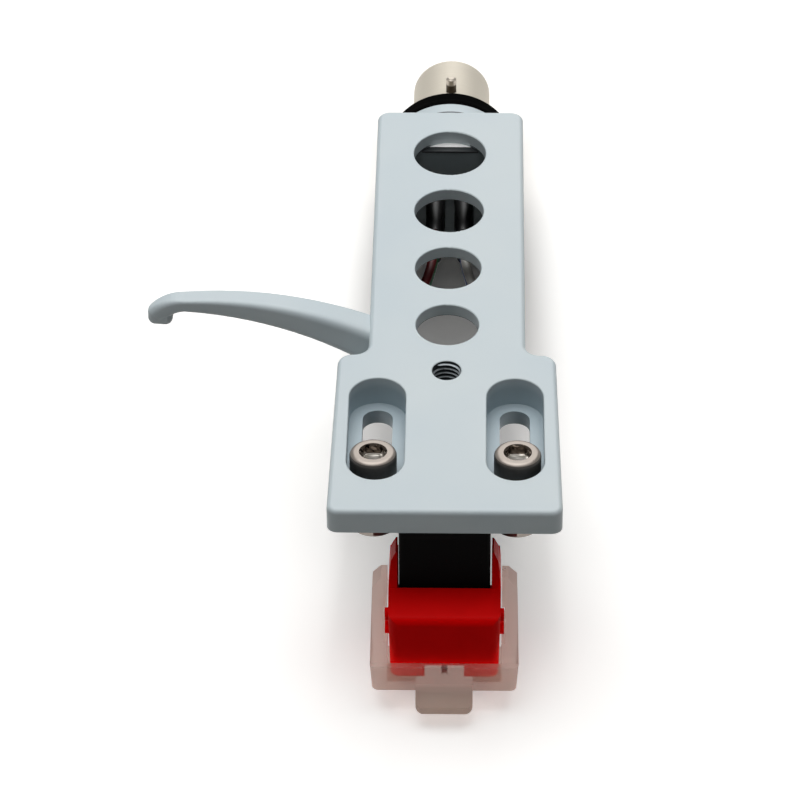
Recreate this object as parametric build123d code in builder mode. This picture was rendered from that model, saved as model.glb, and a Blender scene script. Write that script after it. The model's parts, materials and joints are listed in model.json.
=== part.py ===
import os
from math import cos, radians, sin, tan

from build123d import *

# Turntable headshell with a cartridge on it, in millimetres.
# Origin: on the axis of the bayonet tube, at the rear face of the rubber washer.
# +Y points back to the tonearm, +Z up, +X to the right as seen from the front.

# Bayonet plug
tube_d = 8.0
tube_bore_d = 6.6
tube_reach = 11.3
tube_fit = 0.03
tube_rim_chamfer = 0.3
washer_d = 13.2
washer_thickness = 2.1
washer_edge_r = 0.5
locating_pin_d = 1.05
locating_pin_y = 4.7
locating_pin_height = 1.6
locating_pin_chamfer = 0.18
insulator_fit = 0.04
insulator_recess = 1.2
insulator_flange_width = 9.4
insulator_flange_height = 9.4
insulator_flange_thickness = 0.8
insulator_flange_r = 1.0
contact_d = 1.0
contact_spacing = 2.9
contact_front_reach = 4.8
contact_rear_reach = 0.9
contact_fit = 0.02
contact_tip_chamfer = 0.25
set_screw_d = 2.0
set_screw_socket = 0.9
set_screw_socket_depth = 1.0

# Headshell casting
collar_length = 2.2
arm_width = 14.75
arm_rear_height = 6.8
arm_corner_r = 1.2
top_slope = 6.0
shell_length = 60.25
plate_width = 21.15
plate_length = 22.0
plate_taper = 0.38
plate_corner_r = 1.0
shoulder_r = 1.4
fillet_room = 0.48
mount_drop = 1.85
skirt_drop = 6.6
top_wall = 1.3
side_wall = 1.6
rear_block_length = 4.0
channel_front_wall = 1.2
channel_corner_r = 1.0
top_edge_r = 0.45
rim_r = 0.12

# Round windows along the arm, each smaller than the one behind it
window_count = 4
window_rear_d = 7.2
window_d_step = 0.41
window_web = 2.45
window_rear_margin = 3.57
tapped_hole_d = 2.7
tapped_hole_setback = 2.5

# Stepped slots for the mounting screws
mount_spacing = 12.7
pocket_width = 5.26
pocket_length = 14.0
pocket_front_margin = 4.35
slot_width = 2.8
slot_floor = 1.4

# Finger lift, cast with the arm
lift_root_setback = 4.68
lift_root_z = 0.95
lift_root_depth = 3.85
lift_root_height = 3.6
lift_mid_reach = 7.85
lift_mid_z = 3.42
lift_mid_sweep = 1.07
lift_neck_reach = 17.6
lift_neck_z = 4.64
lift_neck_sweep = 1.0
lift_neck_depth = 2.05
lift_neck_height = 1.22
lift_tip_reach = 20.05
lift_tip_z = 3.6
lift_tip_sweep = 0.9
lift_tip_depth = 1.95
lift_tip_height = 1.95
lift_roundness = 0.25
lift_tip_roundness = 0.4
lift_steps = 12
lift_hook_steps = 8
lift_tip_length = 0.8
lift_tip_edge_r = 0.55
lift_sink = 0.5

# Mounting screws and nuts
screw_setback = 7.5
screw_drift = 0.2
screw_d = 2.2
screw_head_d = 4.3
screw_head_height = 2.2
screw_head_edge = 0.45
screw_socket = 2.2
screw_socket_depth = 1.2
screw_socket_mouth = 2.56
screw_mouth_depth = 0.2
mouth_angle = 45.0
screw_end_reach = 0.7
nut_width = 4.4
nut_thickness = 1.7
nut_chamfer = 0.4
hex_half_turn = 30.0
nut_fit = 0.02
nut_clearance = 0.1

# Cartridge housing
body_width = 8.3
body_front_reach = 5.9
body_length = 13.5
body_front_height = 10.75
body_step_height = 3.7
body_step_reach = 0.7
body_edge_r = 0.3
ear_margin = 2.35
ear_depth = 4.8
ear_thickness = 2.75
ear_corner_r = 1.0
ear_hole_d = 2.7
cavity_wall = 0.8
cavity_roof = 1.8
cavity_floor_wall = 0.6
cavity_front_wall = 1.0
terminal_plate_thickness = 1.0
terminal_plate_fit = 0.05
terminal_d = 1.2
terminal_reach = 4.4
terminal_margin = 1.15
terminal_upper_drop = 4.65
terminal_row_pitch = 3.5
terminal_tip_chamfer = 0.3

# Pole pieces and coils inside the housing
pole_thickness = 0.7
pole_height = 1.0
pole_gap = 0.2
coil_length = 3.2
coil_winding = 0.6
coil_fit = 0.05
coil_end_gap = 0.6
coil_corner_r = 0.3

# Stylus holder
holder_gap = 0.15
nose_length = 3.3
nose_ledge_drop = 7.3
nose_ledge_fall = 1.25
nose_edge_r = 0.9
nose_foot = 0.4
cheek_top_drop = 3.6
cheek_top_wall = 0.3
cheek_shoulder_wall = 0.73
cheek_shoulder_drop = 0.9
cheek_length = 2.3
cheek_lean = 0.3
cheek_foot_drop = 6.0
cheek_foot_lean = 0.3
holder_waist_wall = 0.97
holder_bottom_wall = 0.8
holder_rear_gap = 0.2
notch_width = 3.6
notch_front_height = 1.0
notch_rear_height = 3.2
bump_d = 1.2
bump_height = 0.3
bump_pitch = 1.5
bump_setback = 1.95
bump_upper_drop = 9.25

# Stylus suspension
sleeve_width = 2.8
sleeve_wall = 0.25
sleeve_roof = 0.2
sleeve_seat = 3.1
sleeve_reach = 3.1
sleeve_fit = 0.08
damper_length = 0.9
damper_fit = 0.02
pivot_inset = 1.6
cantilever_angle = 20.0
cantilever_d = 0.6
cantilever_length = 7.15
cantilever_tail = 1.7
cantilever_fit = 0.06
magnet_d = 0.85
magnet_length = 1.15
tip_d = 0.3
tip_point_d = 0.05
tip_length = 0.75
tip_setback = 0.3

# Stylus guard
guard_wall = 1.55
guard_fit = 0.1
guard_front_gap = 0.5
guard_front_wall = 0.7
guard_floor = 0.5
guard_floor_gap = 0.25
guard_cover = 5.35
guard_shoulder_length = 1.9
guard_top_drop = 6.25
guard_lip_height = 2.6
guard_floor_setback = 0.9
guard_floor_slot = 5.2
guard_corner_r = 0.6
guard_shoulder_cut = 0.8
guard_lean = 0.18
tab_width = 5.2
tab_reach = 2.0
tab_fall = 1.15
tab_thickness = 0.7
tab_corner_r = 0.7

# Leads and clips
lead_d = 0.9
clip_wall = 0.25
clip_fit = 0.03
clip_gap = 0.4
clip_socket_length = 4.4
clip_crimp_d = 1.3
clip_crimp_length = 2.2
clip_slit = 0.3
bend_share = 0.48

# Bends of the upper and the lower leads, as shares of the way in Y, X and Z from cartridge to plug
lead_bends = (
    ((0.09, -0.13, 0), (0.255, -2.4, 0.2), (0.464, -2.53, 0.616), (0.652, 0.67, 0.906), (0.843, 1, 1)),
    ((0.097, -0.13, 0), (0.277, -2.4, 0.164), (0.494, -2.67, 0.515), (0.697, -0.53, 0.795), (0.861, 1, 1)),
)

# Places worked out from the sizes above
arm_rear_y = -(washer_thickness + collar_length)
plate_front_y = arm_rear_y - shell_length
shoulder_y = plate_front_y + plate_length
plate_rear_half = plate_width / 2 - plate_taper
block_front_y = arm_rear_y - rear_block_length
tapped_hole_y = shoulder_y - tapped_hole_setback
channel_front_y = tapped_hole_y + tapped_hole_d / 2 + channel_front_wall
channel_half = arm_width / 2 - side_wall
lift_root_y = shoulder_y + lift_root_setback
pocket_floor_z = slot_floor - mount_drop
screw_y = plate_front_y + screw_setback
screw_x = mount_spacing / 2 + screw_drift
ear_bottom_z = -mount_drop - ear_thickness
body_front_y = screw_y - body_front_reach
body_rear_y = body_front_y + body_length
body_step_y = screw_y - body_step_reach
body_height = body_front_height + body_step_height
cavity_front_y = body_step_y + cavity_front_wall
cavity_half = body_width / 2 - cavity_wall
terminal_spacing = 2 * (cavity_half - terminal_margin)
cavity_top_z = -mount_drop - cavity_roof
cavity_floor_z = -mount_drop - body_height + cavity_floor_wall
holder_front_y = body_front_y - holder_gap - nose_length
holder_rear_y = body_step_y - holder_rear_gap
holder_bottom_z = -mount_drop - body_height - nose_foot
holder_waist_half = body_width / 2 + holder_waist_wall
holder_bottom_half = body_width / 2 + holder_bottom_wall
ledge_z = -mount_drop - nose_ledge_drop
cheek_top_z = -mount_drop - cheek_top_drop
sleeve_axis_z = -mount_drop - body_front_height - sleeve_roof - sleeve_width / 2
sleeve_front_y = holder_rear_y - sleeve_seat
sleeve_rear_y = holder_rear_y + sleeve_reach
pivot_y = sleeve_front_y + pivot_inset
guard_inner_half = holder_waist_half + guard_fit
guard_outer_half = guard_inner_half + guard_wall
bump_y = holder_front_y + bump_setback
guard_rear_y = holder_front_y + guard_cover
guard_floor_rear_y = guard_rear_y - guard_floor_setback
guard_front_y = holder_front_y - guard_front_gap - guard_front_wall
guard_bottom_z = holder_bottom_z - guard_floor_gap - guard_floor
guard_lip_z = guard_bottom_z + guard_lip_height
guard_top_z = -mount_drop - guard_top_drop
bump_middle_z = -mount_drop - bump_upper_drop - bump_pitch / 2
insulator_rear_y = tube_reach - insulator_recess
reach_past = 1.0

top_plane = Plane(
    origin=(0, arm_rear_y, arm_rear_height),
    x_dir=(1, 0, 0),
    z_dir=(0, -sin(radians(top_slope)), cos(radians(top_slope))),
)
cantilever_plane = Plane(
    origin=(0, pivot_y, sleeve_axis_z),
    x_dir=(1, 0, 0),
    z_dir=(0, -cos(radians(cantilever_angle)), -sin(radians(cantilever_angle))),
)
channels = ("left_hot", "left_ground", "right_hot", "right_ground")

os.makedirs("parts", exist_ok=True)


def plane_facing_front(y):
    """Upright plane across the part at y, with its normal towards the front."""
    return Plane.XZ.offset(-y)


def top_z(y):
    """Height of the sloping top face at y."""
    return arm_rear_height + (y - arm_rear_y) * tan(radians(top_slope))


def save(built, name):
    """Label a finished piece and write it."""
    built.part.label = name
    export_step(built.part, f"parts/{name}.step")


def side_of(channel):
    """1 for the left channel's pieces, -1 for the right channel's, which is at the finger lift's side."""
    return 1 if channel.startswith("left") else -1


def row_of(channel):
    """0 for the upper row of contacts, 1 for the lower row."""
    return 0 if channel.endswith("hot") else 1


# Finger lift: rounded sections along its centre line, hooked down at the tip
lift_side_x = -arm_width / 2
lift_sections = []
for step in range(lift_steps + 1):
    share = step / lift_steps
    depth = lift_root_depth + (lift_neck_depth - lift_root_depth) * share
    height = lift_root_height + (lift_neck_height - lift_root_height) * share
    lift_sections.append((share, depth, height))
with BuildPart() as finger_lift:
    with BuildLine():
        lift_arm = ThreePointArc(
            (lift_side_x + lift_sink, lift_root_y, lift_root_z),
            (lift_side_x - lift_mid_reach, lift_root_y + lift_mid_sweep, lift_mid_z),
            (lift_side_x - lift_neck_reach, lift_root_y + lift_neck_sweep, lift_neck_z),
        )
        lift_hook = TangentArc(
            lift_arm @ 1,
            (lift_side_x - lift_tip_reach, lift_root_y + lift_tip_sweep, lift_tip_z),
            tangent=lift_arm % 1,
        )
    for share, depth, height in lift_sections:
        with BuildSketch(Plane(origin=lift_arm @ share, x_dir=(0, 1, 0), z_dir=lift_arm % share)):
            RectangleRounded(depth, height, height * lift_roundness)
    for step in range(1, lift_hook_steps + 1):
        share = step / lift_hook_steps
        depth = lift_neck_depth + (lift_tip_depth - lift_neck_depth) * share
        height = lift_neck_height + (lift_tip_height - lift_neck_height) * share
        roundness = lift_roundness + (lift_tip_roundness - lift_roundness) * share
        with BuildSketch(Plane(origin=lift_hook @ share, x_dir=(0, 1, 0), z_dir=lift_hook % share)):
            RectangleRounded(depth, height, height * roundness)
    loft(ruled=True)
with BuildPart() as lift_tip:
    with BuildSketch(Plane(origin=lift_hook @ 1, x_dir=(0, 1, 0), z_dir=lift_hook % 1)):
        RectangleRounded(lift_tip_depth, lift_tip_height, lift_tip_height * lift_tip_roundness)
    extrude(amount=lift_tip_length)
    fillet(lift_tip.faces().sort_by(Axis(lift_hook @ 1, lift_hook % 1))[-1].edges(), lift_tip_edge_r)

# Open channel under the arm, with the leads in it
with BuildPart() as channel_space:
    with BuildSketch(Plane.XY.offset(-skirt_drop - reach_past)):
        with Locations((0, (block_front_y + channel_front_y) / 2)):
            RectangleRounded(2 * channel_half, block_front_y - channel_front_y, channel_corner_r)
    extrude(amount=skirt_drop + arm_rear_height)
    with BuildSketch(Plane.YZ):
        with BuildLine():
            Polyline(
                (block_front_y, -skirt_drop - reach_past),
                (block_front_y, top_z(block_front_y) - top_wall),
                (channel_front_y, top_z(channel_front_y) - top_wall),
                (channel_front_y, -skirt_drop - reach_past),
                close=True,
            )
        make_face()
    extrude(amount=channel_half, both=True, mode=Mode.INTERSECT)

# Headshell casting
with BuildPart() as headshell_body:
    with BuildSketch(Plane.XY.offset(-skirt_drop)) as plan:
        with BuildLine():
            Polyline(
                (0, plate_front_y),
                (plate_width / 2, plate_front_y),
                (plate_rear_half, shoulder_y),
                (arm_width / 2, shoulder_y),
                (arm_width / 2, arm_rear_y),
                (0, arm_rear_y),
            )
            mirror(about=Plane.YZ)
        make_face()
        shoulder_room = fillet_room * (plate_rear_half - arm_width / 2)
        fillet(plan.vertices().group_by(Axis.Y)[1], min(shoulder_r, shoulder_room))
        fillet(plan.vertices().group_by(Axis.Y)[0].group_by(SortBy.DISTANCE)[-1], plate_corner_r)
        fillet(plan.vertices().group_by(Axis.Y)[-1].group_by(SortBy.DISTANCE)[-1], arm_corner_r)
    extrude(amount=skirt_drop + arm_rear_height)
    with BuildSketch(Plane.YZ):
        with BuildLine():
            Polyline(
                (arm_rear_y, arm_rear_height),
                (plate_front_y, top_z(plate_front_y)),
                (plate_front_y, -mount_drop),
                (shoulder_y, -mount_drop),
                (block_front_y, -skirt_drop),
                (arm_rear_y, -skirt_drop),
                close=True,
            )
        make_face()
    extrude(amount=plate_width / 2, both=True, mode=Mode.INTERSECT)
    top_face = headshell_body.faces().filter_by(top_plane).sort_by(SortBy.AREA)[-1]
    fillet(top_face.outer_wire().edges(), top_edge_r)
    add(finger_lift.part)
    add(lift_tip.part)
    with BuildSketch(plane_facing_front(-washer_thickness)):
        Circle(washer_d / 2)
    extrude(amount=collar_length)
    add(channel_space.part, mode=Mode.SUBTRACT)
    with BuildSketch(plane_facing_front(-washer_thickness)):
        Circle(tube_d / 2 + tube_fit)
    extrude(amount=collar_length + rear_block_length, mode=Mode.SUBTRACT)
    with BuildSketch(top_plane):
        window_d = window_rear_d
        window_y = -window_rear_margin - window_d / 2
        for _ in range(window_count):
            with Locations((0, window_y)):
                Circle(window_d / 2)
            window_y -= window_d - window_d_step / 2 + window_web
            window_d -= window_d_step
    extrude(amount=-top_wall - reach_past, mode=Mode.SUBTRACT)
    with BuildSketch(Plane.XY.offset(-mount_drop)):
        with Locations((0, tapped_hole_y)):
            Circle(tapped_hole_d / 2)
    extrude(amount=arm_rear_height, mode=Mode.SUBTRACT)
    with BuildSketch(Plane.XY.offset(pocket_floor_z)):
        with Locations((0, plate_front_y + pocket_front_margin + pocket_length / 2)):
            with GridLocations(mount_spacing, 0, 2, 1):
                SlotOverall(pocket_length, pocket_width, rotation=90)
    extrude(amount=arm_rear_height, mode=Mode.SUBTRACT)
    with BuildSketch(Plane.XY.offset(-mount_drop)):
        with Locations((0, plate_front_y + pocket_front_margin + pocket_length / 2)):
            with GridLocations(mount_spacing, 0, 2, 1):
                SlotOverall(pocket_length - pocket_width + slot_width, slot_width, rotation=90)
    extrude(amount=slot_floor, mode=Mode.SUBTRACT)
    top_face = headshell_body.faces().filter_by(top_plane).sort_by(SortBy.AREA)[-1]
    fillet([edge for rim in top_face.inner_wires() for edge in rim.edges()], rim_r)
    with BuildSketch(Plane.XY.offset(-skirt_drop)):
        with Locations((0, arm_rear_y - rear_block_length / 2)):
            Circle(set_screw_d / 2 + contact_fit)
    extrude(amount=skirt_drop - tube_d / 2 + tube_fit, mode=Mode.SUBTRACT)
save(headshell_body, "headshell_body")

# Bayonet tube with the hole for its locating pin
with BuildPart() as bayonet_tube:
    with BuildSketch(plane_facing_front(tube_reach)):
        Circle(tube_d / 2)
        Circle(tube_bore_d / 2, mode=Mode.SUBTRACT)
    extrude(amount=tube_reach - block_front_y)
    chamfer(
        bayonet_tube.edges().filter_by(GeomType.CIRCLE).group_by(Axis.Y)[-1].sort_by(SortBy.RADIUS)[-1],
        tube_rim_chamfer,
    )
    with BuildSketch(Plane.XY):
        with Locations((0, locating_pin_y)):
            Circle(locating_pin_d / 2 + contact_fit)
    extrude(amount=tube_d, mode=Mode.SUBTRACT)
save(bayonet_tube, "bayonet_tube")

with BuildPart() as locating_pin:
    with BuildSketch(Plane.XY.offset(tube_bore_d / 2)):
        with Locations((0, locating_pin_y)):
            Circle(locating_pin_d / 2)
    extrude(amount=(tube_d - tube_bore_d) / 2 + locating_pin_height)
    chamfer(locating_pin.edges().sort_by(Axis.Z)[-1], locating_pin_chamfer)
save(locating_pin, "locating_pin")

with BuildPart() as rubber_washer:
    with BuildSketch(Plane.XZ):
        Circle(washer_d / 2)
        Circle(tube_d / 2 + tube_fit, mode=Mode.SUBTRACT)
    extrude(amount=washer_thickness)
    fillet(rubber_washer.edges().filter_by(GeomType.CIRCLE).sort_by(SortBy.RADIUS)[-2:], washer_edge_r)
save(rubber_washer, "rubber_washer")

with BuildPart() as tube_set_screw:
    with BuildSketch(Plane.XY.offset(-skirt_drop)):
        with Locations((0, arm_rear_y - rear_block_length / 2)):
            Circle(set_screw_d / 2)
    extrude(amount=skirt_drop - tube_d / 2)
    with BuildSketch(Plane.XY.offset(-skirt_drop)):
        with Locations((0, arm_rear_y - rear_block_length / 2)):
            RegularPolygon(set_screw_socket / 2, 6, major_radius=False)
    extrude(amount=set_screw_socket_depth, mode=Mode.SUBTRACT)
save(tube_set_screw, "tube_set_screw")

# Contacts of the bayonet plug
with BuildPart() as contact_insulator:
    with BuildSketch(plane_facing_front(insulator_rear_y)):
        Circle(tube_bore_d / 2 - insulator_fit)
        with GridLocations(contact_spacing, contact_spacing, 2, 2):
            Circle(contact_d / 2 + contact_fit, mode=Mode.SUBTRACT)
    extrude(amount=insulator_rear_y - block_front_y)
    with BuildSketch(plane_facing_front(block_front_y)):
        RectangleRounded(insulator_flange_width, insulator_flange_height, insulator_flange_r)
        with GridLocations(contact_spacing, contact_spacing, 2, 2):
            Circle(contact_d / 2 + contact_fit, mode=Mode.SUBTRACT)
    extrude(amount=insulator_flange_thickness)
save(contact_insulator, "contact_insulator")

for channel in channels:
    contact_x = side_of(channel) * contact_spacing / 2
    contact_z = contact_spacing / 2 - row_of(channel) * contact_spacing
    contact_start_y = insulator_rear_y + contact_rear_reach
    with BuildPart() as contact_pin:
        with BuildSketch(plane_facing_front(contact_start_y)):
            with Locations((contact_x, contact_z)):
                Circle(contact_d / 2)
        extrude(amount=contact_start_y - block_front_y + contact_front_reach)
        chamfer(contact_pin.faces().sort_by(Axis.Y)[-1].edges(), contact_tip_chamfer)
    save(contact_pin, f"contact_pin_{channel}")

# Screws that hold the cartridge, and their nuts
screw_end_z = ear_bottom_z - nut_thickness - screw_end_reach
with BuildPart() as mounting_screws:
    with BuildSketch(Plane.XY.offset(pocket_floor_z)):
        with Locations((0, screw_y)):
            with GridLocations(2 * screw_x, 0, 2, 1):
                Circle(screw_head_d / 2)
    extrude(amount=screw_head_height)
    fillet(mounting_screws.edges().group_by(Axis.Z)[-1], screw_head_edge)
    with BuildSketch(Plane.XY.offset(pocket_floor_z + screw_head_height)):
        with Locations((0, screw_y)):
            with GridLocations(2 * screw_x, 0, 2, 1):
                RegularPolygon(screw_socket / 2, 6, major_radius=False)
    extrude(amount=-screw_socket_depth, mode=Mode.SUBTRACT)
    with BuildSketch(Plane.XY.offset(pocket_floor_z + screw_head_height)):
        with Locations((0, screw_y)):
            with GridLocations(2 * screw_x, 0, 2, 1):
                Circle(screw_socket_mouth / 2)
    extrude(amount=-screw_mouth_depth, taper=mouth_angle, mode=Mode.SUBTRACT)
    with BuildSketch(Plane.XY.offset(screw_end_z)):
        with Locations((0, screw_y)):
            with GridLocations(2 * screw_x, 0, 2, 1):
                Circle(screw_d / 2)
    extrude(amount=pocket_floor_z - screw_end_z)
save(mounting_screws, "mounting_screws")

with BuildPart() as mounting_nuts:
    with BuildSketch(Plane.XY.offset(ear_bottom_z)):
        with Locations((0, screw_y)):
            with GridLocations(2 * screw_x, 0, 2, 1):
                Circle(nut_width / 2 / cos(radians(hex_half_turn)))
    extrude(amount=-nut_thickness)
    chamfer(mounting_nuts.edges().group_by(Axis.Z)[0], nut_chamfer)
    with BuildSketch(Plane.XY.offset(ear_bottom_z)):
        with Locations((0, screw_y)):
            with GridLocations(2 * screw_x, 0, 2, 1):
                RegularPolygon(nut_width / 2, 6, major_radius=False, rotation=hex_half_turn)
                Circle(screw_d / 2 + nut_fit, mode=Mode.SUBTRACT)
    extrude(amount=-nut_thickness, mode=Mode.INTERSECT)
save(mounting_nuts, "mounting_nuts")

# Cartridge housing: stepped block with two ears, hollow from the rear
with BuildPart() as cartridge_body:
    with BuildSketch(Plane.YZ):
        with BuildLine():
            Polyline(
                (body_front_y, -mount_drop),
                (body_front_y, -mount_drop - body_front_height),
                (body_step_y, -mount_drop - body_front_height),
                (body_step_y, -mount_drop - body_height),
                (body_rear_y, -mount_drop - body_height),
                (body_rear_y, -mount_drop),
                close=True,
            )
        make_face()
    extrude(amount=body_width / 2, both=True)
    fillet(cartridge_body.edges().filter_by(Axis.Z), body_edge_r)
    with BuildSketch(Plane.XY.offset(-mount_drop)):
        with Locations((0, screw_y)):
            RectangleRounded(mount_spacing + 2 * ear_margin, ear_depth, ear_corner_r)
    extrude(amount=-ear_thickness)
    with BuildSketch(Plane.XY.offset(-mount_drop)):
        with Locations((0, screw_y)):
            with GridLocations(mount_spacing, 0, 2, 1):
                Circle(ear_hole_d / 2)
    extrude(amount=-ear_thickness, mode=Mode.SUBTRACT)
    with BuildSketch(Plane.XY.offset(ear_bottom_z)):
        with Locations((0, screw_y)):
            with GridLocations(2 * screw_x, 0, 2, 1):
                RegularPolygon(nut_width / 2 + nut_clearance, 6, major_radius=False, rotation=hex_half_turn)
    extrude(amount=screw_end_z - ear_bottom_z, mode=Mode.SUBTRACT)
    with BuildSketch(plane_facing_front(body_rear_y)):
        with Locations((0, (cavity_top_z + cavity_floor_z) / 2)):
            Rectangle(2 * cavity_half, cavity_top_z - cavity_floor_z)
    extrude(amount=body_rear_y - cavity_front_y, mode=Mode.SUBTRACT)
    with BuildSketch(plane_facing_front(cavity_front_y)):
        with Locations((0, sleeve_axis_z)):
            Rectangle(sleeve_width + 2 * sleeve_fit, sleeve_width + 2 * sleeve_fit)
    extrude(amount=cavity_front_wall, mode=Mode.SUBTRACT)
save(cartridge_body, "cartridge_body")

# Rear plate of the housing with its four terminal pins
with BuildPart() as terminal_plate:
    with BuildSketch(plane_facing_front(body_rear_y)):
        with Locations((0, (cavity_top_z + cavity_floor_z) / 2)):
            Rectangle(
                2 * (cavity_half - terminal_plate_fit),
                cavity_top_z - cavity_floor_z - 2 * terminal_plate_fit,
            )
        with Locations((0, -mount_drop - terminal_upper_drop - terminal_row_pitch / 2)):
            with GridLocations(terminal_spacing, terminal_row_pitch, 2, 2):
                Circle(terminal_d / 2 + contact_fit, mode=Mode.SUBTRACT)
    extrude(amount=terminal_plate_thickness)
save(terminal_plate, "terminal_plate")

for channel in channels:
    terminal_z = -mount_drop - terminal_upper_drop - row_of(channel) * terminal_row_pitch
    with BuildPart() as terminal_pin:
        with BuildSketch(plane_facing_front(body_rear_y + terminal_reach)):
            with Locations((side_of(channel) * terminal_spacing / 2, terminal_z)):
                Circle(terminal_d / 2)
        extrude(amount=terminal_reach + terminal_plate_thickness)
        chamfer(terminal_pin.faces().sort_by(Axis.Y)[-1].edges(), terminal_tip_chamfer)
    save(terminal_pin, f"terminal_pin_{channel}")

# Pole pieces beside the sleeve, each through its coil
pole_half = sleeve_width / 2 + pole_gap + pole_thickness / 2
coil_width = pole_thickness + 2 * (coil_winding + coil_fit)
coil_height = pole_height + 2 * (coil_winding + coil_fit)
pole_z = cavity_floor_z + coil_fit + coil_height / 2
coil_front_y = sleeve_rear_y + coil_end_gap
for side, side_name in ((-1, "left"), (1, "right")):
    with BuildPart() as pole_piece:
        with BuildSketch(plane_facing_front(body_rear_y - terminal_plate_thickness)):
            with Locations((side * pole_half, pole_z)):
                Rectangle(pole_thickness, pole_height)
        extrude(amount=body_rear_y - terminal_plate_thickness - cavity_front_y)
    save(pole_piece, f"pole_piece_{side_name}")
    with BuildPart() as coil:
        with BuildSketch(plane_facing_front(coil_front_y + coil_length)):
            with Locations((side * pole_half, pole_z)):
                RectangleRounded(coil_width, coil_height, coil_corner_r)
                Rectangle(pole_thickness + 2 * coil_fit, pole_height + 2 * coil_fit, mode=Mode.SUBTRACT)
        extrude(amount=coil_length)
    save(coil, f"coil_{side_name}")

# Stylus holder: nose, floor and two cheeks round the front of the housing
with BuildPart() as stylus_holder:
    with BuildSketch(plane_facing_front(holder_rear_y)):
        with BuildLine():
            Polyline(
                (0, cheek_top_z),
                (body_width / 2 + cheek_top_wall, cheek_top_z),
                (body_width / 2 + cheek_shoulder_wall, cheek_top_z - cheek_shoulder_drop),
                (holder_waist_half, ledge_z),
                (holder_bottom_half, holder_bottom_z),
                (0, holder_bottom_z),
            )
            mirror(about=Plane.YZ)
        make_face()
    extrude(amount=holder_rear_y - holder_front_y)
    with BuildSketch(Plane.YZ):
        with BuildLine():
            cheek_front_y = body_front_y + cheek_lean
            cheek_rear_y = cheek_front_y + cheek_length
            Polyline(
                (holder_front_y, holder_bottom_z),
                (holder_front_y, ledge_z - nose_ledge_fall),
                (body_front_y - holder_gap, ledge_z),
                (cheek_front_y, cheek_top_z),
                (cheek_rear_y, cheek_top_z),
                (cheek_rear_y + cheek_foot_lean, -mount_drop - cheek_foot_drop),
                (holder_rear_y, -mount_drop - cheek_foot_drop - cheek_foot_lean),
                (holder_rear_y, holder_bottom_z),
                close=True,
            )
        make_face()
    extrude(amount=plate_width / 2, both=True, mode=Mode.INTERSECT)
    nose_face = stylus_holder.faces().sort_by(Axis.Y)[0]
    fillet(nose_face.edges().sort_by(Axis.Z)[1:], nose_edge_r)
    with BuildSketch(Plane.YZ):
        with BuildLine():
            Polyline(
                (body_front_y - holder_gap, 0),
                (body_front_y - holder_gap, -mount_drop - body_front_height - holder_gap),
                (holder_rear_y + reach_past, -mount_drop - body_front_height - holder_gap),
                (holder_rear_y + reach_past, 0),
                close=True,
            )
        make_face()
    extrude(amount=body_width / 2 + holder_gap, both=True, mode=Mode.SUBTRACT)
    with BuildSketch(Plane.YZ):
        with BuildLine():
            Polyline(
                (holder_front_y, holder_bottom_z),
                (holder_front_y, holder_bottom_z + notch_front_height),
                (sleeve_front_y, holder_bottom_z + notch_rear_height),
                (sleeve_front_y, holder_bottom_z),
                close=True,
            )
        make_face()
    extrude(amount=notch_width / 2, both=True, mode=Mode.SUBTRACT)
    with BuildSketch(plane_facing_front(holder_rear_y)):
        with Locations((0, sleeve_axis_z)):
            Rectangle(sleeve_width + 2 * contact_fit, sleeve_width + 2 * contact_fit)
    extrude(amount=sleeve_seat, mode=Mode.SUBTRACT)
    for side in (-1, 1):
        with BuildSketch(Plane.YZ.offset(side * (holder_waist_half + bump_height))):
            with Locations((bump_y, bump_middle_z)):
                with GridLocations(0, bump_pitch, 1, 2):
                    Circle(bump_d / 2)
        extrude(amount=-side * (bump_height + holder_waist_half - holder_bottom_half + reach_past))
save(stylus_holder, "stylus_holder")

# Square sleeve that plugs into the housing and carries the suspension
with BuildPart() as stylus_sleeve:
    with BuildSketch(plane_facing_front(sleeve_rear_y)):
        with Locations((0, sleeve_axis_z)):
            Rectangle(sleeve_width, sleeve_width)
            Rectangle(sleeve_width - 2 * sleeve_wall, sleeve_width - 2 * sleeve_wall, mode=Mode.SUBTRACT)
    extrude(amount=sleeve_rear_y - sleeve_front_y)
save(stylus_sleeve, "stylus_sleeve")

with BuildPart() as damper:
    with BuildSketch(plane_facing_front(pivot_y + damper_length / 2)):
        with Locations((0, sleeve_axis_z)):
            Circle(sleeve_width / 2 - sleeve_wall - damper_fit)
    extrude(amount=damper_length)
    with BuildSketch(cantilever_plane):
        Circle(cantilever_d / 2 + cantilever_fit)
    extrude(amount=damper_length, both=True, mode=Mode.SUBTRACT)
save(damper, "damper")

# Cantilever with the magnet behind its pivot and the diamond at its front end
with BuildPart() as cantilever:
    with BuildSketch(cantilever_plane.offset(-cantilever_tail)):
        Circle(cantilever_d / 2)
    extrude(amount=cantilever_tail + cantilever_length)
save(cantilever, "cantilever")

with BuildPart() as moving_magnet:
    with BuildSketch(cantilever_plane.offset(-cantilever_tail)):
        Circle(magnet_d / 2)
        Circle(cantilever_d / 2 + contact_fit / 2, mode=Mode.SUBTRACT)
    extrude(amount=magnet_length)
save(moving_magnet, "moving_magnet")

tip_seat = cantilever_plane.location * Pos(0, 0, cantilever_length - tip_setback)
tip_plane = Plane(
    origin=tip_seat.position,
    x_dir=(1, 0, 0),
    z_dir=(0, sin(radians(cantilever_angle)), -cos(radians(cantilever_angle))),
).offset(cantilever_d / 2)
with BuildPart() as stylus_tip:
    with BuildSketch(tip_plane):
        Rectangle(tip_d, tip_d)
    with BuildSketch(tip_plane.offset(tip_length)):
        Rectangle(tip_point_d, tip_point_d)
    loft()
save(stylus_tip, "stylus_tip")

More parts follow.
